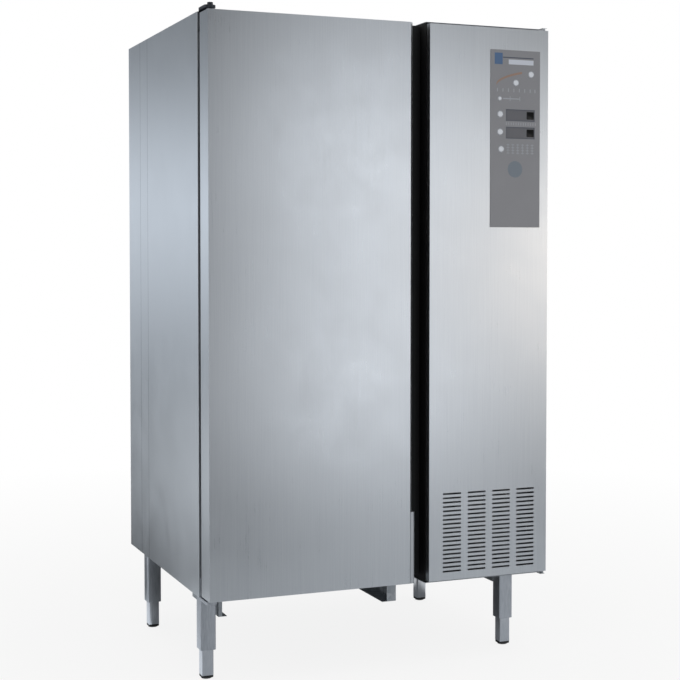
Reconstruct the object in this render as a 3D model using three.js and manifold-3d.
// Upright blast chiller: a reach-in cell with a full-height door on the left, and a machine
// compartment behind a service panel on the right, on four square legs.
// Millimetres, +Z up, the front faces -Y. Sizes are laid out from the door's front left edge at
// floor level; the last lines move the whole group so that its origin is under its middle.
import * as THREE from "three";
import { mergeVertices } from "three/addons/utils/BufferGeometryUtils.js";
import Module from "manifold-3d";

const wasm = await Module();
wasm.setup();

// ---------------------------------------------------------------------------------------------
// Driving dimensions
// ---------------------------------------------------------------------------------------------

// Cabinet
const WIDTH = 1040;
const REAR = 888; // rear edge of the side panels, measured from the door's face
const BODY_HEIGHT = 1614; // underside of the base pan to the top panel
const MACHINE_WIDTH = 384; // machine compartment, over the service panel
const SHEET = 1.5; // outer sheets
const LINER = 1; // inner liner sheet
const INSULATION = 60;
const FRAME_DEPTH = 4;
const BACK_RECESS = 20; // back panel set in from the rear edge
const EDGE_FOLD = 15; // folded edges of the side panels
const SLOT_LINER_THICK = 4;
const SLOT_LINER_LAP = 30; // slot liner running on behind the front frame's plane

// Clearances
const FIT = 0.5; // loose fits, pins in holes, pipes through walls
const SEAT = 0.25; // narrow running gaps

// Legs
const LEG_TUBE = 44;
const LEG_LENGTH = 150;
const LEG_WALL = 4.5;
const FOOT_OUT = 82; // foot drawn out below the leg tube
const FOOT_INSIDE = 70; // foot left inside the tube
const GLIDE_RADIUS = 15;
const GLIDE_HEIGHT = 8;
const LEG_LEFT = 5; // left legs' outer faces, from the left side
const LEG_RIGHT = 56; // right legs' outer faces, from the right side
const LEG_FRONT = 1; // front legs' front faces, behind the front frame's plane
const LEG_REAR = 152; // rear legs' rear faces, from the rear edge
const LEG_BEAM = { width: 10, drop: 46, gap: 86 }; // rail behind the front right leg, to the rear one

// Channels under the cell, where a melt-water container can hang
const CHANNEL_LENGTH = 260;
const CHANNEL_SHEET = 1.5;
const LEFT_CHANNEL = { gap: 8, width: 25, drop: 60, tab: 11 }; // gap to the left legs
const RIGHT_CHANNEL = { inset: 101, width: 44, drop: 64, tab: 29 }; // from the machine compartment

// Door
const DOOR_THICK = 77;
const DOOR_TOP_MARGIN = 8; // cabinet above the door
const DOOR_BOTTOM_MARGIN = 9; // cabinet below the door
const DOOR_BEVEL = 9;
const LIP_DEPTH = 20; // thickness of the lip that the fingers reach behind
const SLOT_WIDTH = 51; // between the lip's edge and the service panel
const DOOR_EDGE_GAP = 4; // between the door's rear edge and the service panel
const GRIP_BACKING = 19; // door left behind the floor of the grip recess
const GRIP_UNDERCUT = 30; // recess reaching in behind the lip
const GRIP_WALL = 2;
const GRIP_FOOT = 11; // grip recess ending above the door's lower edge
const GRIP_END_HEIGHT = 206;
const GRIP_END_PROUD = 7;
const GASKET_WIDTH = 14;
const GASKET_LAP = 8; // gasket's inner edge, outside the cell opening
const GASKET_GAP = 24; // between the door and the front frame
const HINGE_X = 22;
const HINGE_INSET = 25; // pivot in front of the door's rear face
const HINGE_PIN = 6; // radius
const HINGE_PIN_REACH = 26; // pin inside the door
const HINGE_ARM = 8; // thickness of the brackets' arms
const HINGE_ARM_GAP = 2; // arm above the cabinet's top
const HINGE_BRACKET = { from: 4, gasket: 4.5, front: 12, plate: 4, drop: 56 };
const HINGE_COLLAR = 11; // radius
const HINGE_HEAD = { radius: 8, height: 8 };

// Tray racks
const TRAY_PITCH = 105;
const RACK_POST = 14;
const RACK_FRONT = 45; // runners behind the cell's mouth
const RACK_REAR = 95.5; // runners in front of the cell's back
const RUNNER_SHELF = 14;
const RUNNER_WEB = 12;
const RUNNER_SHEET = 1.5;
const POST_INSET = 30; // posts in from the runners' ends
const FIRST_RUNNER = 75; // above the cell floor
const RACK_HEADROOM = 30; // free height above the top runner

// Air side of the cell
const BAFFLE_FRONT = 35; // baffle behind the cell's mouth
const BAFFLE_REAR_GAP = 26; // air gap between the baffle and the cell's back
const BAFFLE_AIR = { left: 40, pitch: 70, width: 30, bottom: 120, step: 185, slot: 130, top: 120 };
const FAN_SHIFT = -0.25; // fans' centres off the middle of the cell's depth
const FAN_RADIUS = 140;
const FAN_MOUTH_GAP = 10; // around the blades
const FAN_HUB = { radius: 45, depth: 34 };
const FAN_BLADES = 5;
const FAN_STANDOFF = 8; // baffle to rotor hub
const MOTOR = { radius: 45, length: 70, shaft: 6, gap: 4 };
const MOTOR_MOUNT = { arm: 8, outside: 12, spoke: 20, thick: 6 }; // arms' width, place and bracing
const COIL_WALL_GAP = 2; // between the evaporator's tubes and the cell wall
const COIL_GAP = 4.5; // between the fan motors and the evaporator
const FIN_OPEN = 0.4; // share of a fin's pitch that is open
const FIN_ROOT = 8; // solid depth behind the fins
const GUARD = { lap: 8, rim: 10, wire: 3, rings: 2 };
const EVAPORATOR = { front: 95, rear: 65.5, depth: 40, margin: 110, fins: 14, lip: 6, plate: 3 };

// Machine compartment
const PANEL_FOLD = 20; // depth of the service panel's folded edges
const PANEL_GAP = 4.5; // behind the folded edges
const PANEL_PIVOT = { inset: 7, radius: 3, collar: 2, reach: 17 };
const PANEL_EAR = { width: 15, front: 4 };
const GRILLE = { left: 44, right: 42, bottom: 23, columns: 4, web: 22, rows: 19, step: 12.5, slot: 5 };
const OVERLAY = { width: 163, height: 514, right: 28, top: 63, thick: 1.5 };
const DISPLAY = { left: 51, right: 18, height: 31, levels: [188, 239], proud: 1, carrier: 4 };
const BUTTON = { proud: 1.5, flange: 2, flangeThick: 2 }; // flange wider than the cap by this much
const BUTTON_TRAVEL = 1;
const BUTTONS = {
  start_stop_button: [OVERLAY.width - 30, 68, 8],
  cycle_button: [OVERLAY.width - 80, 94, 8],
  mode_button: [30, 141, 5],
  time_button: [31.5, 186, 8],
  temperature_button: [31.5, 237.5, 8],
  probe_button: [35, 287, 8],
}; // from the overlay's top left corner: across, down, radius
const KEYPAD = { inset: 8, top: 10, height: 330, depth: 26 };
const ELECTRICAL_BOX = { width: 180, depth: 140, height: 430, gap: 9, top: 86, wall: 2 };
const RELAY_ROW = { inset: 25, bottom: 60, top: 40, height: 70, depth: 60, rows: 3 };
const UNIT_TRAY = { inset: 10, front: 4, rear: 148, thick: 4 };
const CONDENSER = { left: 34, right: 30, front: 19, depth: 45, margin: 23, fins: 12 };
const SHROUD = { thick: 1.5, collar: 20, wall: 2, gap: 6 };
const CONDENSER_FAN = { radius: 112, gap: 8, arms: 10 };
const COMPRESSOR = { right: 190, radius: 100, height: 280, foot: 18, footRadius: 12, base: 220 };
const RECEIVER = { left: 64, radius: 50, height: 280 };
const SPARE_DEPTH = { compressor: 49 / 77, receiver: 12 / 77 }; // shares of it in front of each
const PIPE = { suction: 8, liquid: 5, discharge: 5, bend: 25, clear: 40 };
const SUCTION = { rear: 75.5, up: 185.5 }; // where the suction pipe leaves the cell
const LIQUID = { rear: 105.5, down: 223.5 }; // where the liquid line enters the cell
const DRAIN = { front: 55, radius: 16, bore: 13, flange: 30, drop: 18 };
const GLAND = { inset: 60, up: 188, thread: 10, nut: 15, dome: 12, bore: 5 };
const VENTS = { left: 64, down: 426, columns: 2, pitch: 130, width: 100, rows: 9, step: 28, slot: 10 };

// ---------------------------------------------------------------------------------------------
// Positions that follow from them
// ---------------------------------------------------------------------------------------------

const CASE_FRONT = DOOR_THICK + GASKET_GAP; // plane of the front frame, behind the door
const MACHINE_FRONT = SHEET + PANEL_FOLD + PANEL_GAP; // machine compartment, behind its panel
const BOTTOM = FOOT_OUT + LEG_LENGTH; // underside of the base pan
const TOP = BOTTOM + BODY_HEIGHT;
const MACHINE_LEFT = WIDTH - MACHINE_WIDTH;
const BACK = REAR - BACK_RECESS; // outer face of the back panel
const PAN = BOTTOM + SHEET; // upper face of the base pan
const ROOF = TOP - SHEET; // lower face of the top panel
const FOAM = {
  x: [SHEET, MACHINE_LEFT - SHEET],
  y: [CASE_FRONT + FRAME_DEPTH, BACK - SHEET],
  z: [PAN, ROOF],
};
const HOLLOW = {
  x: [FOAM.x[0] + INSULATION, FOAM.x[1] - INSULATION],
  y: [FOAM.y[0], FOAM.y[1] - INSULATION],
  z: [FOAM.z[0] + INSULATION, FOAM.z[1] - INSULATION],
};
const CELL = {
  x: [HOLLOW.x[0] + LINER, HOLLOW.x[1] - LINER],
  y: [HOLLOW.y[0], HOLLOW.y[1] - LINER],
  z: [HOLLOW.z[0] + LINER, HOLLOW.z[1] - LINER],
};
const DOOR = {
  edge: MACHINE_LEFT - SLOT_WIDTH, // right edge of the lip
  side: MACHINE_LEFT - DOOR_EDGE_GAP, // right edge of the door's rear part
  z: [BOTTOM + DOOR_BOTTOM_MARGIN, TOP - DOOR_TOP_MARGIN],
};
DOOR.recess = DOOR.edge - GRIP_UNDERCUT;
DOOR.gripFoot = DOOR.z[0] + GRIP_FOOT;
const GRIP_DEPTH = DOOR_THICK - GRIP_BACKING;
const HINGE_Y = DOOR_THICK - HINGE_INSET;
const LEG_COLUMNS = { left: LEG_LEFT + LEG_TUBE / 2, right: WIDTH - LEG_RIGHT - LEG_TUBE / 2 };
const LEG_ROWS = {
  front: CASE_FRONT + LEG_FRONT + LEG_TUBE / 2,
  rear: REAR - LEG_REAR - LEG_TUBE / 2,
};
const FOOT_SIZE = LEG_TUBE - 2 * LEG_WALL - 2 * FIT;
const FAN_DRIVE = FAN_STANDOFF + FAN_HUB.depth + MOTOR.gap + MOTOR.length; // behind the baffle
const AIR_SIDE = SHEET + FAN_DRIVE + COIL_GAP + EVAPORATOR.lip + EVAPORATOR.depth;
const BAFFLE_X = CELL.x[1] - AIR_SIDE; // trays fill the cell from its left wall to here
const FAN_LEVELS = [0.25, 0.75].map((share) => CELL.z[0] + share * (CELL.z[1] - CELL.z[0]));
const FAN_Y = (CELL.y[0] + CELL.y[1]) / 2 + FAN_SHIFT;
const FAN_MOUTH = FAN_RADIUS + FAN_MOUTH_GAP;
const UNIT_TOP = PAN + UNIT_TRAY.thick;
const SUCTION_AT = { y: CELL.y[1] - SUCTION.rear, z: CELL.z[0] + SUCTION.up };
const LIQUID_AT = { y: CELL.y[1] - LIQUID.rear, z: CELL.z[1] - LIQUID.down };
const DRAIN_AT = { x: (CELL.x[0] + BAFFLE_X) / 2, y: CELL.y[0] + DRAIN.front };
const GLAND_Z = BOTTOM + GLAND.up;
const PIVOT_Y = SHEET + PANEL_FOLD / 2; // the service panel's pivot, in the middle of its fold
const SIDES = 16; // sides of every pin and hole, so that round fits line up
const WIDE_SIDES = 24; // sides of the fans' mouths and guards

// ---------------------------------------------------------------------------------------------
// Finishes
// ---------------------------------------------------------------------------------------------

const FINISH = {
  brushedSteel: { color: 0xaab0b8, roughness: 0.35, metalness: 1 },
  darkSteel: { color: 0x8b9199, roughness: 0.4, metalness: 1 },
  galvanised: { color: 0x9aa1a6, roughness: 0.5, metalness: 1 },
  foam: { color: 0xe8dfc0, roughness: 0.9, metalness: 0 },
  rubber: { color: 0x2a2b2d, roughness: 0.8, metalness: 0 },
  blackPlastic: { color: 0x0c0d0f, roughness: 0.5, metalness: 0 },
  greyPlastic: { color: 0x7d7f84, roughness: 0.45, metalness: 0 },
  whitePlastic: { color: 0xe4e7ec, roughness: 0.4, metalness: 0 },
  aluminium: { color: 0xc4c8cc, roughness: 0.45, metalness: 1 },
  copper: { color: 0xb87352, roughness: 0.35, metalness: 1 },
  blackEnamel: { color: 0x16171a, roughness: 0.35, metalness: 0.2 },
};

// ---------------------------------------------------------------------------------------------
// Geometry helpers
// ---------------------------------------------------------------------------------------------

// Coordinates are kept to 1/1024 mm, so that faces that touch have exactly the same numbers.
const snap = (value) => Math.round(value * 1024) / 1024;

function snapPositions(geometry) {
  const { array } = geometry.attributes.position;
  for (let i = 0; i < array.length; i++) array[i] = snap(array[i]);
}

// A closed geometry as a solid that can be joined and cut.
function solid(geometry) {
  const open = geometry.index ? geometry.toNonIndexed() : geometry.clone();
  open.deleteAttribute("normal");
  open.deleteAttribute("uv");
  snapPositions(open);
  const merged = mergeVertices(open, 1e-4);
  return new wasm.Manifold(
    new wasm.Mesh({
      numProp: 3,
      vertProperties: merged.attributes.position.array,
      triVerts: new Uint32Array(merged.index.array),
    }),
  );
}

function geometryOf(shape) {
  const mesh = shape.getMesh();
  const geometry = new THREE.BufferGeometry();
  geometry.setAttribute("position", new THREE.BufferAttribute(mesh.vertProperties, mesh.numProp));
  geometry.setIndex(new THREE.BufferAttribute(mesh.triVerts, 1));
  return geometry;
}

const join = (...pieces) =>
  geometryOf(pieces.map(solid).reduce((whole, piece) => whole.add(piece)));

const cut = (body, ...tools) =>
  geometryOf(tools.map(solid).reduce((left, tool) => left.subtract(tool), solid(body)));

// A box given by its span along each axis.
function block([x0, x1], [y0, y1], [z0, z1]) {
  const box = new THREE.BoxGeometry(x1 - x0, y1 - y0, z1 - z0);
  return box.translate((x0 + x1) / 2, (y0 + y1) / 2, (z0 + z1) / 2);
}

// An outline in X and Y, drawn up along Z.
function prism(outline, [z0, z1]) {
  const shape = new THREE.Shape(outline.map(([x, y]) => new THREE.Vector2(x, y)));
  const depth = z1 - z0;
  return new THREE.ExtrudeGeometry(shape, { depth, bevelEnabled: false }).translate(0, 0, z0);
}

// A round bar along Z.
function bar(radius, [z0, z1], sides = SIDES) {
  const rod = new THREE.CylinderGeometry(radius, radius, z1 - z0, sides);
  return rod.rotateX(Math.PI / 2).translate(0, 0, (z0 + z1) / 2);
}

// A body turned about Z; the profile runs upwards as [radius, height] and closes on the axis.
function turned(profile, sides = SIDES) {
  const points = profile.map(([radius, height]) => new THREE.Vector2(radius, height));
  return new THREE.LatheGeometry(points, sides).rotateX(Math.PI / 2);
}

// A flat ring about Z.
const ring = (inner, outer, [z0, z1], sides = SIDES) =>
  cut(bar(outer, [z0, z1], sides), bar(inner, [z0 - 1, z1 + 1], sides));

// Turns a geometry made along Z so that it lies along X or along Y.
const alongX = (geometry) => geometry.rotateY(Math.PI / 2);
const alongY = (geometry) => geometry.rotateX(-Math.PI / 2);

// A rigid pipe through corner points, bent at every corner.
function pipe(corners, radius) {
  const points = corners.map((corner) => new THREE.Vector3(...corner));
  const route = new THREE.CurvePath();
  let from = points[0];
  for (let i = 1; i < points.length - 1; i++) {
    const before = towards(points[i], points[i - 1]);
    const after = towards(points[i], points[i + 1]);
    route.add(new THREE.LineCurve3(from, before));
    route.add(new THREE.QuadraticBezierCurve3(before, points[i], after));
    from = after;
  }
  route.add(new THREE.LineCurve3(from, points.at(-1)));
  return sweep(route, radius);
}

const towards = (corner, next) =>
  corner.clone().add(next.clone().sub(corner).setLength(PIPE.bend));

// A round section of eight sides carried along a route, one step for each straight or part bend.
function sweep(route, radius) {
  const stations = [];
  for (const leg of route.curves) {
    const steps = leg.isLineCurve3 ? 1 : 3;
    for (let i = 0; i < steps; i++) stations.push([leg.getPoint(i / steps), leg.getTangent(i / steps)]);
  }
  const last = route.curves.at(-1);
  stations.push([last.getPoint(1), last.getTangent(1)]);
  const count = 8;
  const positions = [];
  const side = new THREE.Vector3();
  let previous = stations[0][1];
  side.crossVectors(previous, new THREE.Vector3(0.3, 0.5, 0.8).normalize()).normalize();
  for (const [point, tangent] of stations) {
    side.applyQuaternion(new THREE.Quaternion().setFromUnitVectors(previous, tangent));
    previous = tangent;
    for (let k = 0; k < count; k++) {
      const arm = side.clone().applyAxisAngle(tangent, (2 * Math.PI * k) / count);
      positions.push(...point.clone().addScaledVector(arm, radius).toArray());
    }
  }
  const index = [];
  for (let s = 0; s < stations.length - 1; s++) {
    for (let k = 0; k < count; k++) {
      const a = s * count + k;
      const b = s * count + ((k + 1) % count);
      index.push(a, b, b + count, a, b + count, a + count);
    }
  }
  const end = (stations.length - 1) * count;
  for (let k = 1; k < count - 1; k++) {
    index.push(0, k + 1, k, end, end + k, end + k + 1);
  }
  const geometry = new THREE.BufferGeometry();
  geometry.setAttribute("position", new THREE.Float32BufferAttribute(positions, 3));
  geometry.setIndex(index);
  return geometry;
}

// One named mesh with its own material, in a group.
function add(group, name, geometry, finish) {
  snapPositions(geometry);
  const mesh = new THREE.Mesh(geometry, new THREE.MeshStandardMaterial(FINISH[finish]));
  mesh.name = name;
  group.add(mesh);
  return mesh;
}

function groupAt(parent, x, y, z) {
  const group = new THREE.Group();
  group.position.set(snap(x), snap(y), snap(z));
  parent.add(group);
  return group;
}

// ---------------------------------------------------------------------------------------------
// Cabinet shell
// ---------------------------------------------------------------------------------------------

// The outline shared by the base pan and the top panel: it reaches further forward on the right.
const DECK_OUTLINE = [
  [SHEET, CASE_FRONT],
  [MACHINE_LEFT, CASE_FRONT],
  [MACHINE_LEFT, MACHINE_FRONT],
  [WIDTH - SHEET, MACHINE_FRONT],
  [WIDTH - SHEET, REAR],
  [SHEET, REAR],
];

// An ear of the deck that carries a pin for the service panel.
function panelEar(sheet, pin, collar) {
  const x = WIDTH - PANEL_PIVOT.inset;
  const right = WIDTH - SHEET;
  const ear = block([right - PANEL_EAR.width, right], [PANEL_EAR.front, MACHINE_FRONT], sheet);
  const pieces = [ear, bar(PANEL_PIVOT.radius, pin).translate(x, PIVOT_Y, 0)];
  if (collar) {
    pieces.push(bar(PANEL_PIVOT.radius + PANEL_PIVOT.collar, collar).translate(x, PIVOT_Y, 0));
  }
  return pieces;
}

function leftSidePanel() {
  const sheet = block([0, SHEET], [CASE_FRONT, REAR], [BOTTOM, TOP]);
  return join(sheet, block([SHEET, EDGE_FOLD], [REAR - SHEET, REAR], [PAN, ROOF]));
}

function rightSidePanel() {
  const sheet = block([WIDTH - SHEET, WIDTH], [MACHINE_FRONT, REAR], [BOTTOM, TOP]);
  const fold = [WIDTH - EDGE_FOLD, WIDTH - SHEET];
  return join(
    sheet,
    block(fold, [REAR - SHEET, REAR], [PAN, ROOF]),
    block(fold, [MACHINE_FRONT, MACHINE_FRONT + SHEET], [PAN, ROOF]),
  );
}

function topPanel() {
  const pin = [DOOR.z[1] - PANEL_PIVOT.reach + DOOR_TOP_MARGIN, TOP];
  return join(prism(DECK_OUTLINE, [ROOF, TOP]), ...panelEar([ROOF, TOP], pin));
}

function basePan() {
  const pin = [BOTTOM, DOOR.z[0] + PANEL_PIVOT.reach - DOOR_BOTTOM_MARGIN];
  const deck = cut(prism(DECK_OUTLINE, [BOTTOM, PAN]), drainHole());
  return join(deck, ...panelEar([BOTTOM, PAN], pin, [PAN, DOOR.z[0] - SEAT]));
}

const drainHole = () =>
  bar(DRAIN.radius + FIT, [BOTTOM - 1, CELL.z[0] + 1]).translate(DRAIN_AT.x, DRAIN_AT.y, 0);

// Holes for the two refrigerant pipes through the wall between cell and machine compartment.
const wallHole = (radius, { y, z }) =>
  alongX(bar(radius + FIT, [CELL.x[1] - 1, MACHINE_LEFT + 1])).translate(0, y, z);
const wallHoles = () => [wallHole(PIPE.suction, SUCTION_AT), wallHole(PIPE.liquid, LIQUID_AT)];

// A field of slots for cutting through a sheet that lies across Y, from its lower left corner.
function slotField({ columns, pitch, width, rows, step, slot }, [y0, y1], x, z) {
  const slots = [];
  for (let column = 0; column < columns; column++) {
    for (let row = 0; row < rows; row++) {
      const x0 = x + column * pitch;
      const z0 = z + row * step;
      slots.push(block([x0, x0 + width], [y0, y1], [z0, z0 + slot]));
    }
  }
  return slots;
}

function backPanel() {
  const sheet = block([SHEET, WIDTH - SHEET], [BACK - SHEET, BACK], [PAN, ROOF]);
  const gland = alongY(bar(GLAND.thread + FIT, [BACK - 3, BACK + 1]));
  gland.translate(WIDTH - GLAND.inset, 0, GLAND_Z);
  const vents = slotField(VENTS, [BACK - 3, BACK + 1], MACHINE_LEFT + VENTS.left, TOP - VENTS.down);
  return cut(sheet, gland, ...vents);
}

// The power lead's inlet: a threaded body behind the sheet, a nut and a domed cap outside.
function cableGland() {
  const { thread, nut, dome, bore } = GLAND;
  return cut(
    join(
      bar(thread, [-12, 0]),
      bar(nut, [0, 6], 6),
      turned([[0, 5], [dome, 5], [dome, 12], [dome - 4, 17], [0, 17]]),
    ),
    bar(bore, [-13, 18]),
  );
}

function partitionPanel() {
  const y = [CASE_FRONT, BACK - SHEET];
  return cut(block([MACHINE_LEFT - SHEET, MACHINE_LEFT], y, [PAN, ROOF]), ...wallHoles());
}

function frontFrame() {
  const y = [CASE_FRONT, CASE_FRONT + FRAME_DEPTH];
  const opening = block(CELL.x, [y[0] - 1, y[1] + 1], CELL.z);
  return cut(block(FOAM.x, y, FOAM.z), opening);
}

function slotLiner() {
  const x = [MACHINE_LEFT, MACHINE_LEFT + SLOT_LINER_THICK];
  return block(x, [MACHINE_FRONT, CASE_FRONT + SLOT_LINER_LAP], [PAN, ROOF]);
}

function cellInsulation() {
  const hollow = block(HOLLOW.x, [HOLLOW.y[0] - 1, HOLLOW.y[1]], HOLLOW.z);
  return cut(block(FOAM.x, FOAM.y, FOAM.z), hollow, drainHole(), ...wallHoles());
}

function innerLiner() {
  const inside = block(CELL.x, [CELL.y[0] - 1, CELL.y[1]], CELL.z);
  return cut(block(HOLLOW.x, HOLLOW.y, HOLLOW.z), inside, drainHole(), ...wallHoles());
}

// Floor drain: a flanged spigot through liner, insulation and base pan.
function drainPipe() {
  const spigot = bar(DRAIN.radius, [BOTTOM - DRAIN.drop, CELL.z[0] + SHEET]);
  const flange = bar(DRAIN.flange, [CELL.z[0], CELL.z[0] + SHEET]);
  const bore = bar(DRAIN.bore, [BOTTOM - DRAIN.drop - 1, CELL.z[0] + SHEET + 1]);
  return cut(join(spigot, flange), bore);
}

function underframeChannel({ width, drop, tab }, from, webOnRight) {
  const y = [CASE_FRONT + FRAME_DEPTH, CASE_FRONT + FRAME_DEPTH + CHANNEL_LENGTH];
  const x = [from, from + width];
  const z = [BOTTOM - drop, BOTTOM];
  const t = CHANNEL_SHEET;
  const web = webOnRight ? [x[1] - t, x[1]] : [x[0], x[0] + t];
  const face = webOnRight ? [x[1] - tab, x[1]] : [x[0], x[0] + tab];
  return join(
    block(web, y, z),
    block(x, y, [z[0], z[0] + t]),
    block(x, y, [z[1] - t, z[1]]),
    block(face, [y[0], y[0] + t], z),
  );
}

function buildShell(cabinet) {
  add(cabinet, "left_side_panel", leftSidePanel(), "brushedSteel");
  add(cabinet, "right_side_panel", rightSidePanel(), "brushedSteel");
  add(cabinet, "top_panel", topPanel(), "brushedSteel");
  add(cabinet, "base_pan", basePan(), "galvanised");
  add(cabinet, "back_panel", backPanel(), "galvanised");
  add(cabinet, "partition_panel", partitionPanel(), "galvanised");
  add(cabinet, "front_frame", frontFrame(), "darkSteel");
  add(cabinet, "slot_liner", slotLiner(), "blackPlastic");
  add(cabinet, "cell_insulation", cellInsulation(), "foam");
  add(cabinet, "inner_liner", innerLiner(), "brushedSteel");
  add(groupAt(cabinet, DRAIN_AT.x, DRAIN_AT.y, 0), "drain_pipe", drainPipe(), "darkSteel");
  const left = LEG_LEFT + LEG_TUBE + LEFT_CHANNEL.gap;
  const right = MACHINE_LEFT - RIGHT_CHANNEL.inset;
  const channels = {
    left_underframe_channel: underframeChannel(LEFT_CHANNEL, left, false),
    right_underframe_channel: underframeChannel(RIGHT_CHANNEL, right, true),
  };
  for (const [name, channel] of Object.entries(channels)) add(cabinet, name, channel, "galvanised");
  const gland = groupAt(cabinet, WIDTH - GLAND.inset, BACK, GLAND_Z);
  add(gland, "cable_gland", alongY(cableGland()), "blackPlastic");
}

// ---------------------------------------------------------------------------------------------
// Legs and feet
// ---------------------------------------------------------------------------------------------

const square = (size) => [-size / 2, size / 2];

function legTube() {
  const bore = FOOT_SIZE + 2 * FIT;
  const outside = block(square(LEG_TUBE), square(LEG_TUBE), [FOOT_OUT, BOTTOM]);
  return cut(outside, block(square(bore), square(bore), [FOOT_OUT - 1, BOTTOM + 1]));
}

function frontRightLeg() {
  const { width, drop, gap } = LEG_BEAM;
  const x = [-LEG_TUBE / 2, width - LEG_TUBE / 2];
  const between = LEG_ROWS.rear - LEG_ROWS.front; // leg to leg
  const y = [LEG_TUBE / 2, between - LEG_TUBE / 2 - gap];
  const beam = block(x, y, [BOTTOM - drop, BOTTOM]);
  return join(legTube(), beam);
}

function foot() {
  const post = block(square(FOOT_SIZE), square(FOOT_SIZE), [GLIDE_HEIGHT, FOOT_OUT + FOOT_INSIDE]);
  return join(post, bar(GLIDE_RADIUS, [0, GLIDE_HEIGHT]));
}

function buildLegs(cabinet) {
  for (const [row, y] of Object.entries(LEG_ROWS)) {
    for (const [column, x] of Object.entries(LEG_COLUMNS)) {
      const corner = groupAt(cabinet, x, y, 0);
      const withBeam = row === "front" && column === "right";
      add(corner, `${row}_${column}_leg`, withBeam ? frontRightLeg() : legTube(), "brushedSteel");
      add(corner, `${row}_${column}_foot`, foot(), "darkSteel");
    }
  }
}

// ---------------------------------------------------------------------------------------------
// Door, turning about its left edge
// ---------------------------------------------------------------------------------------------

// Pockets in the door for the two hinge pins.
const pinPocket = (z) => bar(HINGE_PIN + FIT, z).translate(HINGE_X, HINGE_Y, 0);
const pinPockets = () => [
  pinPocket([DOOR.z[0] - 1, DOOR.z[0] + HINGE_PIN_REACH + FIT]),
  pinPocket([DOOR.z[1] - HINGE_PIN_REACH - FIT, DOOR.z[1] + 1]),
];

function doorSkin() {
  const t = SHEET;
  const back = DOOR_THICK - SHEET;
  const bevel = DOOR.edge - DOOR_BEVEL;
  const lip = [
    [bevel, 0],
    [DOOR.edge, DOOR_BEVEL],
    [DOOR.edge, LIP_DEPTH],
    [DOOR.recess, LIP_DEPTH],
  ];
  const section = [
    [0, 0],
    ...lip,
    [DOOR.recess, LIP_DEPTH - t],
    [DOOR.edge - t, LIP_DEPTH - t],
    [DOOR.edge - t, DOOR_BEVEL + t / 3],
    [bevel - t / 3, t],
    [t, t],
    [t, back],
    [0, back],
  ];
  const end = [[0, 0], ...lip, [DOOR.recess, back], [0, back]];
  const [low, high] = DOOR.z;
  const skin = join(prism(section, DOOR.z), prism(end, [low, low + t]), prism(end, [high - t, high]));
  return cut(skin, ...pinPockets());
}

function doorCore() {
  const t = SHEET;
  const back = DOOR_THICK - SHEET;
  const floor = GRIP_DEPTH + GRIP_WALL;
  const [low, high] = DOOR.z;
  const main = [
    [t, t],
    [DOOR.edge - DOOR_BEVEL - t / 3, t],
    [DOOR.edge - t, DOOR_BEVEL + t / 3],
    [DOOR.edge - t, LIP_DEPTH - t],
    [DOOR.recess, LIP_DEPTH - t],
    [DOOR.recess, back],
    [t, back],
  ];
  const behindGrip = block([DOOR.recess, DOOR.side - t], [floor, back], [DOOR.gripFoot + t, high - t]);
  return cut(join(prism(main, [low + t, high - t]), behindGrip), ...pinPockets());
}

function doorInnerPanel() {
  const t = SHEET;
  const back = [DOOR_THICK - t, DOOR_THICK];
  const fold = [GRIP_DEPTH + GRIP_WALL, DOOR_THICK - t];
  const [low, high] = DOOR.z;
  const grip = [DOOR.gripFoot, high];
  return join(
    block([0, DOOR.recess], back, DOOR.z),
    block([DOOR.recess, DOOR.side], back, grip),
    block([DOOR.side - t, DOOR.side], fold, grip),
    block([DOOR.recess, DOOR.side], fold, [high - t, high]),
    block([DOOR.recess, DOOR.side], fold, [grip[0], grip[0] + t]),
  );
}

// The recess that the fingers reach into: a wall, a floor and two end caps behind the lip.
function gripProfile() {
  const x0 = DOOR.recess;
  const z = [DOOR.gripFoot, DOOR.z[1]];
  const wall = block([x0, x0 + GRIP_WALL], [LIP_DEPTH, GRIP_DEPTH], z);
  const floor = block([x0, DOOR.side], [GRIP_DEPTH, GRIP_DEPTH + GRIP_WALL], z);
  const caps = [z[0], z[1] - GRIP_WALL].map((base) =>
    block([x0, DOOR.edge - SHEET], [LIP_DEPTH, GRIP_DEPTH], [base, base + GRIP_WALL]),
  );
  return join(wall, floor, ...caps);
}

// Protector over the foot of the lip, squaring off its bevel.
function gripEndPiece() {
  const bevel = DOOR.edge - DOOR_BEVEL;
  const right = DOOR.edge + GRIP_END_PROUD;
  const outline = [
    [bevel + FIT, 0],
    [DOOR.edge + SHEET, 0],
    [right, GRIP_END_PROUD - SHEET],
    [right, LIP_DEPTH],
    [DOOR.edge + SEAT, LIP_DEPTH],
    [DOOR.edge + SEAT, DOOR_BEVEL - SEAT],
  ];
  return prism(outline, [DOOR.z[0], DOOR.z[0] + GRIP_END_HEIGHT]);
}

function doorGasket() {
  const y = [DOOR_THICK, CASE_FRONT - FIT];
  const grow = ([low, high], by) => [low - by, high + by];
  const outer = GASKET_LAP + GASKET_WIDTH;
  const hole = block(grow(CELL.x, GASKET_LAP), [y[0] - 1, y[1] + 1], grow(CELL.z, GASKET_LAP));
  return cut(block(grow(CELL.x, outer), y, grow(CELL.z, outer)), hole);
}

function buildDoor(parent) {
  const door = groupAt(parent, 0, 0, 0);
  add(door, "door_skin", doorSkin(), "brushedSteel");
  add(door, "door_core", doorCore(), "foam");
  add(door, "door_inner_panel", doorInnerPanel(), "brushedSteel");
  add(door, "grip_profile", gripProfile(), "blackPlastic");
  add(door, "grip_end_piece", gripEndPiece(), "darkSteel");
  add(door, "door_gasket", doorGasket(), "rubber");
}

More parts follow.
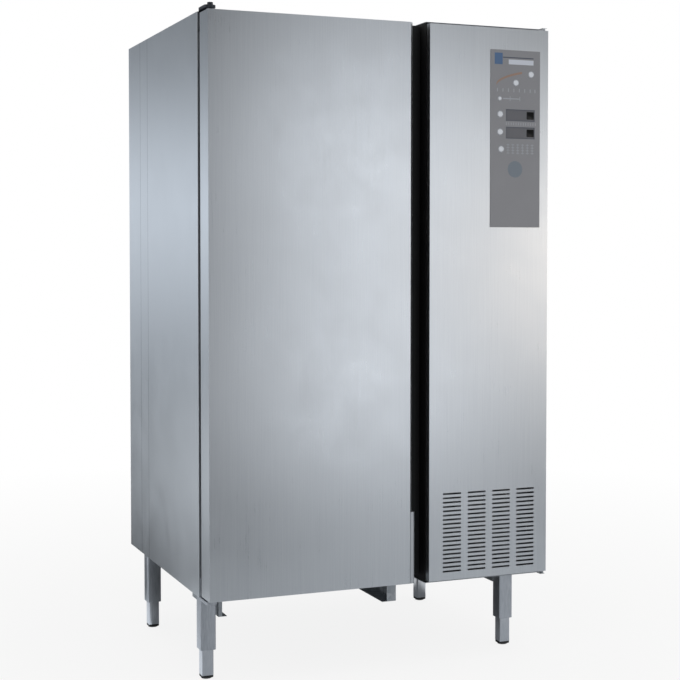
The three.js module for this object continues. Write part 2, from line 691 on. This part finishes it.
// A bracket in the gap behind the door: a plate on the front frame, an arm over the door's end
// and a pin with a collar that the door turns on.
function hingeBracket(arm, plate, collar, pin, head) {
  const { from, gasket, front, plate: thick } = HINGE_BRACKET;
  const x = [from, CELL.x[0] - GASKET_LAP - GASKET_WIDTH - gasket];
  return join(
    block(x, [HINGE_Y - front, CASE_FRONT], arm),
    block(x, [CASE_FRONT - thick, CASE_FRONT], plate),
    bar(HINGE_COLLAR, collar).translate(HINGE_X, HINGE_Y, 0),
    bar(HINGE_PIN, pin).translate(HINGE_X, HINGE_Y, 0),
    bar(HINGE_HEAD.radius, head).translate(HINGE_X, HINGE_Y, 0),
  );
}

function buildHinges(cabinet) {
  const { drop } = HINGE_BRACKET;
  const [low, high] = DOOR.z;
  const upper = [TOP + HINGE_ARM_GAP, TOP + HINGE_ARM_GAP + HINGE_ARM];
  const lower = [BOTTOM - HINGE_ARM, BOTTOM];
  const upperBracket = hingeBracket(
    upper,
    [TOP - drop, upper[1]],
    [high + SEAT, upper[0]],
    [high - HINGE_PIN_REACH, upper[1]],
    [upper[1], upper[1] + HINGE_HEAD.height],
  );
  const lowerBracket = hingeBracket(
    lower,
    [lower[0], BOTTOM + drop],
    [BOTTOM, low - SEAT],
    [lower[0], low + HINGE_PIN_REACH],
    [lower[0] - HINGE_HEAD.height / 2, lower[0]],
  );
  add(cabinet, "upper_hinge_bracket", upperBracket, "darkSteel");
  add(cabinet, "lower_hinge_bracket", lowerBracket, "darkSteel");
}

// ---------------------------------------------------------------------------------------------
// Inside the cell
// ---------------------------------------------------------------------------------------------

const RUNNER_LEVELS = [];
for (
  let z = CELL.z[0] + FIRST_RUNNER;
  z <= CELL.z[1] - RACK_HEADROOM - RUNNER_WEB;
  z += TRAY_PITCH
) {
  RUNNER_LEVELS.push(z);
}

// One side's rack, drawn for the left: two posts on the floor with an angle runner at each level.
function trayRack(side) {
  const post = [0, RACK_POST];
  const web = [RACK_POST, RACK_POST + RUNNER_SHEET];
  const shelf = [RACK_POST, web[1] + RUNNER_SHELF];
  const along = [CELL.y[0] + RACK_FRONT, CELL.y[1] - RACK_REAR];
  const turn = ([a, b]) => (side > 0 ? [a, b] : [-b, -a]);
  const posts = [along[0] + POST_INSET, along[1] - POST_INSET - RACK_POST].map((y) =>
    block(turn(post), [y, y + RACK_POST], [CELL.z[0], RUNNER_LEVELS.at(-1) + 2 * RUNNER_WEB]),
  );
  const runners = RUNNER_LEVELS.flatMap((z) => [
    block(turn(web), along, [z, z + RUNNER_WEB]),
    block(turn(shelf), along, [z, z + RUNNER_SHEET]),
  ]);
  return join(...posts, ...runners);
}

function fanBaffle() {
  const face = [BAFFLE_X, BAFFLE_X + SHEET];
  const y = CELL.y[0] + BAFFLE_FRONT;
  const sheet = block(face, [y, CELL.y[1] - BAFFLE_REAR_GAP], CELL.z);
  const fold = block([face[0], CELL.x[1] - FIT], [y, y + SHEET], CELL.z);
  const mouths = FAN_LEVELS.map((z) =>
    alongX(bar(FAN_MOUTH, [face[0] - 1, face[1] + 1], WIDE_SIDES)).translate(0, FAN_Y, z),
  );
  const { left, bottom, step, slot, top } = BAFFLE_AIR;
  const rows = 1 + Math.floor((CELL.z[1] - CELL.z[0] - bottom - slot - top) / step);
  const air = { ...BAFFLE_AIR, columns: 2, rows };
  const slots = slotField(air, [y - 1, y + SHEET + 1], face[1] + left, CELL.z[0] + bottom);
  return cut(join(sheet, fold), ...mouths, ...slots);
}

// A rotor about Z: a bored hub and flat pitched blades.
function axialFan(radius, hub, bore, blades) {
  const root = hub.radius - 4;
  const shape = new THREE.Shape();
  shape.moveTo(root, -0.16 * radius);
  shape.lineTo(radius * 0.97, -0.24 * radius);
  shape.lineTo(radius * 0.99, 0.14 * radius);
  shape.lineTo(root, 0.12 * radius);
  const pieces = [bar(hub.radius, [0, hub.depth])];
  for (let i = 0; i < blades; i++) {
    const blade = new THREE.ExtrudeGeometry(shape, { depth: 2.5, bevelEnabled: false });
    blade.rotateX(0.42).translate(0, 0, hub.depth / 2);
    pieces.push(blade.rotateZ((2 * Math.PI * i) / blades));
  }
  return cut(join(...pieces), bar(bore, [-1, hub.depth + 1]));
}

// A motor behind its rotor, on four arms that reach forward to a plate at height zero.
function fanMotor({ radius, length, shaft }, shaftFrom, bodyFrom, armRadius) {
  const pieces = [
    bar(radius, [bodyFrom, bodyFrom + length]),
    bar(shaft, [shaftFrom, bodyFrom + 1]),
  ];
  const { arm, spoke: up, thick } = MOTOR_MOUNT;
  const level = [bodyFrom + up, bodyFrom + up + thick];
  for (let i = 0; i < 4; i++) {
    const turn = (i + 0.5) * (Math.PI / 2);
    const spoke = block([radius - 5, armRadius + arm / 2], square(arm), level);
    const foot = block([armRadius - arm / 2, armRadius + arm / 2], square(arm), [0, level[1]]);
    pieces.push(spoke.rotateZ(turn), foot.rotateZ(turn));
  }
  return join(...pieces);
}

function fanGuard() {
  const { lap, rim, wire, rings } = GUARD;
  const radius = FAN_MOUTH + lap;
  const pieces = [ring(radius - rim, radius, [-wire, 0], WIDE_SIDES)];
  for (let i = 0; i < rings; i++) {
    const r = ((i + 1) * (radius - rim)) / (rings + 1);
    pieces.push(ring(r - wire, r, [-wire, 0], WIDE_SIDES));
  }
  for (const turn of [0.25, 0.75]) {
    pieces.push(block(square(2 * radius - 4), square(6), [-wire, 0]).rotateZ(turn * Math.PI));
  }
  return join(...pieces);
}

function evaporatorCoil() {
  const { front, rear, depth, margin, fins, lip, plate } = EVAPORATOR;
  const wall = CELL.x[1];
  const [from, to] = [CELL.y[0] + front, CELL.y[1] - rear];
  const z = [CELL.z[0] + margin, CELL.z[1] - margin];
  const pack = block([wall - depth, wall - COIL_WALL_GAP], [from, to], z);
  const step = (z[1] - z[0]) / fins;
  const gaps = [];
  for (let i = 0; i < fins; i++) {
    const z0 = z[0] + (i + 0.3) * step;
    const x = [wall - depth - 1, wall - COIL_WALL_GAP - FIN_ROOT];
    gaps.push(block(x, [from - 1, to + 1], [z0, z0 + FIN_OPEN * step]));
  }
  const plates = [z[0] - plate, z[1]].map((z0) =>
    block([wall - depth - lip, wall], [from - 5, to + 5], [z0, z0 + plate]),
  );
  return join(cut(pack, ...gaps), ...plates);
}

function buildCell(cabinet) {
  const left = groupAt(cabinet, CELL.x[0] + FIT, 0, 0);
  add(left, "left_tray_rack", trayRack(1), "brushedSteel");
  const right = groupAt(cabinet, BAFFLE_X - FIT, 0, 0);
  add(right, "right_tray_rack", trayRack(-1), "brushedSteel");
  add(cabinet, "fan_baffle", fanBaffle(), "brushedSteel");
  add(cabinet, "evaporator_coil", evaporatorCoil(), "aluminium");
  FAN_LEVELS.forEach((z, i) => {
    const level = ["lower", "upper"][i];
    const behind = BAFFLE_X + SHEET;
    const hubBack = FAN_STANDOFF + FAN_HUB.depth;
    const rotor = groupAt(cabinet, behind + FAN_STANDOFF, FAN_Y, z);
    const motor = groupAt(cabinet, behind, FAN_Y, z);
    const guard = groupAt(cabinet, BAFFLE_X, FAN_Y, z);
    const fan = axialFan(FAN_RADIUS, FAN_HUB, MOTOR.shaft + FIT, FAN_BLADES);
    const arms = FAN_MOUTH + MOTOR_MOUNT.outside;
    const drive = fanMotor(MOTOR, FAN_STANDOFF + 2, hubBack + MOTOR.gap, arms);
    add(guard, `${level}_fan_guard`, alongX(fanGuard()), "darkSteel");
    add(rotor, `${level}_evaporator_fan`, alongX(fan), "aluminium");
    add(motor, `${level}_fan_motor`, alongX(drive), "blackEnamel");
  });
}

// ---------------------------------------------------------------------------------------------
// Service panel with its controls, turning about its right edge
// ---------------------------------------------------------------------------------------------

const OVERLAY_LEFT = WIDTH - OVERLAY.right - OVERLAY.width;
const OVERLAY_TOP = DOOR.z[1] - OVERLAY.top;

// Spans of a display window, grown by a clearance.
const DISPLAY_X = [OVERLAY_LEFT + DISPLAY.left, OVERLAY_LEFT + OVERLAY.width - DISPLAY.right];
const windowAt = (level, y, grow) => {
  const z0 = OVERLAY_TOP - level;
  const half = DISPLAY.height / 2 + grow;
  return block([DISPLAY_X[0] - grow, DISPLAY_X[1] + grow], y, [z0 - half, z0 + half]);
};

const buttonHole = ([across, down, radius], y) =>
  alongY(bar(radius + FIT, y)).translate(OVERLAY_LEFT + across, 0, OVERLAY_TOP - down);

const controlHoles = (y) => [
  ...DISPLAY.levels.map((level) => windowAt(level, y, FIT)),
  ...Object.values(BUTTONS).map((button) => buttonHole(button, y)),
];

function servicePanel() {
  const t = SHEET;
  const x = [MACHINE_LEFT, WIDTH];
  const z = DOOR.z;
  const fold = [t, t + PANEL_FOLD];
  const tray = join(
    block(x, [0, t], z),
    block([x[0], x[0] + t], fold, z),
    block([x[1] - t, x[1]], fold, z),
    block(x, fold, [z[0], z[0] + t]),
    block(x, fold, [z[1] - t, z[1]]),
  );
  const pivot = bar(PANEL_PIVOT.radius + FIT, [z[0] - 1, z[1] + 1]);
  pivot.translate(WIDTH - PANEL_PIVOT.inset, PIVOT_Y, 0);
  const through = [-1, t + 1];
  const { left, right, bottom, columns, web } = GRILLE;
  const width = (MACHINE_WIDTH - left - right - (columns - 1) * web) / columns;
  const field = { ...GRILLE, width, pitch: width + web };
  const slots = slotField(field, through, x[0] + left, z[0] + bottom);
  return cut(tray, pivot, ...controlHoles(through), ...slots);
}

function controlOverlay() {
  const x = [OVERLAY_LEFT, OVERLAY_LEFT + OVERLAY.width];
  const y = [-OVERLAY.thick, 0];
  const sheet = block(x, y, [OVERLAY_TOP - OVERLAY.height, OVERLAY_TOP]);
  return cut(sheet, ...controlHoles([y[0] - 1, 1]));
}

// The panes' circuit carrier behind the sheet, grown by a clearance.
function displayCarrier(y, grow) {
  const [upper, lower] = DISPLAY.levels;
  const half = DISPLAY.height / 2 + grow;
  const x = [DISPLAY_X[0] - grow, DISPLAY_X[1] + grow];
  return block(x, y, [OVERLAY_TOP - lower - half, OVERLAY_TOP - upper + half]);
}

// A solid back behind the panel, with pockets for the display carrier and the buttons' flanges.
function keypadHousing() {
  const { inset, top, height, depth } = KEYPAD;
  const x = [OVERLAY_LEFT + inset, OVERLAY_LEFT + OVERLAY.width - inset];
  const z = [OVERLAY_TOP - top - height, OVERLAY_TOP - top];
  const body = block(x, [SHEET, SHEET + depth], z);
  const floor = SHEET + SEAT + BUTTON.flangeThick + BUTTON_TRAVEL + FIT;
  const pockets = Object.values(BUTTONS).map(([across, down, radius]) =>
    buttonHole([across, down, radius + BUTTON.flange], [SHEET - 1, floor]),
  );
  return cut(body, ...pockets, displayCarrier([SHEET - 1, SHEET + DISPLAY.carrier], FIT));
}

// Two panes on one circuit carrier; the panes stand in the cut-outs of the sheet.
function displayModule() {
  const panes = DISPLAY.levels.map((level) => windowAt(level, [-DISPLAY.proud, SHEET], 0));
  return join(displayCarrier([SHEET, SHEET + DISPLAY.carrier], 0), ...panes);
}

// A button about Y: its cap stands proud of the overlay, its flange is caught behind the sheet.
function pushButton(radius) {
  const front = -OVERLAY.thick - BUTTON.proud;
  const flange = [SHEET + SEAT, SHEET + SEAT + BUTTON.flangeThick];
  const cap = bar(radius, [front, flange[1]]);
  return alongY(join(cap, bar(radius + BUTTON.flange, flange)));
}

function buildServicePanel(parent) {
  const panel = groupAt(parent, 0, 0, 0);
  add(panel, "service_panel", servicePanel(), "brushedSteel");
  add(panel, "control_overlay", controlOverlay(), "greyPlastic");
  add(panel, "keypad_housing", keypadHousing(), "blackPlastic");
  add(panel, "display_module", displayModule(), "blackPlastic");
  for (const [name, [across, down, radius]] of Object.entries(BUTTONS)) {
    const place = groupAt(panel, OVERLAY_LEFT + across, 0, OVERLAY_TOP - down);
    add(place, name, pushButton(radius), "whitePlastic");
  }
}

// ---------------------------------------------------------------------------------------------
// Inside the machine compartment
// ---------------------------------------------------------------------------------------------

function electricalBox() {
  const { width, depth, height, gap, top, wall } = ELECTRICAL_BOX;
  const front = CASE_FRONT + SLOT_LINER_LAP + gap; // behind the slot liner
  const x = [MACHINE_LEFT, MACHINE_LEFT + width];
  const y = [front, front + depth];
  const z = [TOP - top - height, TOP - top];
  const inside = block(
    [x[0] + wall, x[1] - wall],
    [y[0] - 1, y[1] - wall],
    [z[0] + wall, z[1] - wall],
  );
  const row = RELAY_ROW;
  const step = (height - row.bottom - row.top - row.height) / (row.rows - 1);
  const relays = Array.from({ length: row.rows }, (_, i) => {
    const z0 = z[0] + row.bottom + i * step;
    const across = [x[0] + row.inset, x[1] - row.inset];
    return block(across, [y[1] - wall - row.depth, y[1]], [z0, z0 + row.height]);
  });
  return join(cut(block(x, y, z), inside), ...relays);
}

function unitTray() {
  const { inset, front, rear, thick } = UNIT_TRAY;
  const x = [MACHINE_LEFT + inset, WIDTH - inset];
  return block(x, [MACHINE_FRONT + front, BACK - rear], [PAN, PAN + thick]);
}

const CONDENSER_X = [MACHINE_LEFT + CONDENSER.left, WIDTH - CONDENSER.right];
const CONDENSER_FRONT = MACHINE_FRONT + CONDENSER.front;
const CONDENSER_BACK = CONDENSER_FRONT + CONDENSER.depth;
const CONDENSER_Y = (CONDENSER_FRONT + CONDENSER_BACK) / 2; // pipes join it here
const SHROUD_HOLE = CONDENSER_FAN.radius + SHROUD.gap;
const CONDENSER_TOP = UNIT_TOP + 2 * (SHROUD_HOLE + CONDENSER.margin);
const CONDENSER_FAN_X = (CONDENSER_X[0] + CONDENSER_X[1]) / 2;
const CONDENSER_FAN_Z = (UNIT_TOP + CONDENSER_TOP) / 2;

// The compressor and the receiver share out the depth between the fan motor and the liquid line.
const DRIVE_FROM = CONDENSER_FAN.gap + FAN_HUB.depth + MOTOR.gap;
const DRIVE_BACK = CONDENSER_BACK + SHROUD.thick + DRIVE_FROM + MOTOR.length;
const SPARE = LIQUID_AT.y - DRIVE_BACK - 2 * COMPRESSOR.radius - 2 * RECEIVER.radius;
const COMPRESSOR_X = WIDTH - COMPRESSOR.right;
const COMPRESSOR_Y = DRIVE_BACK + SPARE * SPARE_DEPTH.compressor + COMPRESSOR.radius;
const RECEIVER_X = MACHINE_LEFT + RECEIVER.left;
const RECEIVER_Y = COMPRESSOR_Y + COMPRESSOR.radius + SPARE * SPARE_DEPTH.receiver + RECEIVER.radius;

function condenserCoil() {
  const { fins } = CONDENSER;
  const y = [CONDENSER_FRONT, CONDENSER_BACK];
  const pack = block(CONDENSER_X, y, [UNIT_TOP, CONDENSER_TOP]);
  const step = (CONDENSER_X[1] - CONDENSER_X[0] - 12) / fins;
  const gaps = [];
  for (let i = 0; i < fins; i++) {
    const x0 = CONDENSER_X[0] + 6 + (i + 0.3) * step;
    const z = [UNIT_TOP + 6, CONDENSER_TOP - 6];
    gaps.push(block([x0, x0 + FIN_OPEN * step], [y[0] - 1, y[1] - FIN_ROOT], z));
  }
  return cut(pack, ...gaps);
}

function condenserShroud() {
  const { thick, collar, wall } = SHROUD;
  const y = [CONDENSER_BACK, CONDENSER_BACK + thick];
  const tube = alongY(bar(SHROUD_HOLE + wall, [0, thick + collar], WIDE_SIDES));
  const bore = alongY(bar(SHROUD_HOLE, [-1, thick + collar + 1], WIDE_SIDES));
  for (const piece of [tube, bore]) piece.translate(CONDENSER_FAN_X, CONDENSER_BACK, CONDENSER_FAN_Z);
  return cut(join(block(CONDENSER_X, y, [UNIT_TOP, CONDENSER_TOP]), tube), bore);
}

function compressor() {
  const { radius, height, foot, footRadius, base } = COMPRESSOR;
  const plate = block(square(base), square(base - 40), [foot, foot + 4]);
  const shell = turned([
    [0, foot + 2],
    [radius - 12, foot + 2],
    [radius, foot + 22],
    [radius, height - 50],
    [radius - 14, height - 20],
    [radius - 50, height],
    [0, height],
  ]);
  const terminals = block([-radius - 22, -radius + 20], square(70), [120, 190]);
  const feet = [-1, 1].flatMap((i) =>
    [-1, 1].map((j) => {
      const [x, y] = [i * (base / 2 - 14), j * (base / 2 - 34)];
      return bar(footRadius, [0, foot + 1]).translate(x, y, 0);
    }),
  );
  return join(plate, shell, terminals, ...feet);
}

// Compressor to condenser, over the top of both.
function dischargePipe() {
  const start = COMPRESSOR_X + COMPRESSOR.radius + FIT;
  const x = COMPRESSOR_X + COMPRESSOR.radius + PIPE.clear;
  const high = CONDENSER_TOP + 80;
  const z = UNIT_TOP + 200;
  const route = [
    [start, COMPRESSOR_Y, z],
    [x, COMPRESSOR_Y, z],
    [x, COMPRESSOR_Y, high],
    [x, CONDENSER_Y, high],
    [x, CONDENSER_Y, CONDENSER_TOP + FIT],
  ];
  return pipe(route, PIPE.discharge);
}

// Condenser to receiver and on through the wall to the evaporator, brazed into one piece.
function liquidLine() {
  const { radius, height } = RECEIVER;
  const [x, y] = [RECEIVER_X, RECEIVER_Y];
  const top = UNIT_TOP + height;
  const vessel = turned([
    [0, 0],
    [radius - 8, 0],
    [radius, 10],
    [radius, height - 25],
    [radius - 20, height],
    [0, height],
  ]);
  const high = CONDENSER_TOP + 40;
  const inlet = [
    [x, CONDENSER_Y, CONDENSER_TOP + FIT],
    [x, CONDENSER_Y, high],
    [x, y, high],
    [x, y, top - 5],
  ];
  const outlet = [
    [x, y + radius - 10, UNIT_TOP + 80],
    [x, LIQUID_AT.y, UNIT_TOP + 80],
    [x, LIQUID_AT.y, LIQUID_AT.z],
    [CELL.x[1] - COIL_WALL_GAP + FIT, LIQUID_AT.y, LIQUID_AT.z],
  ];
  return join(
    vessel.translate(x, y, UNIT_TOP),
    pipe(inlet, PIPE.liquid),
    pipe(outlet, PIPE.liquid),
  );
}

function suctionPipe() {
  const { y, z } = SUCTION_AT;
  const start = [CELL.x[1] - COIL_WALL_GAP + FIT, y, z];
  const end = [COMPRESSOR_X, COMPRESSOR_Y + COMPRESSOR.radius + FIT, z];
  return pipe([start, [COMPRESSOR_X, y, z], end], PIPE.suction);
}

function buildMachine(cabinet) {
  add(cabinet, "electrical_box", electricalBox(), "galvanised");
  add(cabinet, "unit_tray", unitTray(), "galvanised");
  add(cabinet, "condenser_coil", condenserCoil(), "aluminium");
  add(cabinet, "condenser_shroud", condenserShroud(), "galvanised");
  const base = groupAt(cabinet, COMPRESSOR_X, COMPRESSOR_Y, UNIT_TOP);
  add(base, "compressor", compressor(), "blackEnamel");
  add(cabinet, "discharge_pipe", dischargePipe(), "copper");
  add(cabinet, "liquid_line", liquidLine(), "copper");
  add(cabinet, "suction_pipe", suctionPipe(), "copper");
  const behind = CONDENSER_BACK + SHROUD.thick;
  const { radius, gap, arms } = CONDENSER_FAN;
  const rotor = groupAt(cabinet, CONDENSER_FAN_X, behind + gap, CONDENSER_FAN_Z);
  const motor = groupAt(cabinet, CONDENSER_FAN_X, behind, CONDENSER_FAN_Z);
  const fan = axialFan(radius, FAN_HUB, MOTOR.shaft + FIT, FAN_BLADES);
  const drive = fanMotor(MOTOR, gap + 2, DRIVE_FROM, SHROUD_HOLE + arms);
  add(rotor, "condenser_fan", alongY(fan), "aluminium");
  add(motor, "condenser_fan_motor", alongY(drive), "blackEnamel");
}

// ---------------------------------------------------------------------------------------------
// The whole chiller, with its origin on the floor under the middle of its footprint
// ---------------------------------------------------------------------------------------------

const chiller = new THREE.Group();
chiller.name = "blast_chiller";
const front = -OVERLAY.thick - BUTTON.proud;
chiller.position.set(-snap(WIDTH / 2), -snap((REAR + front) / 2), 0);

buildShell(chiller);
buildLegs(chiller);
buildHinges(chiller);
buildDoor(chiller);
buildCell(chiller);
buildServicePanel(chiller);
buildMachine(chiller);

const whole = new THREE.Group();
whole.add(chiller);

export default whole;
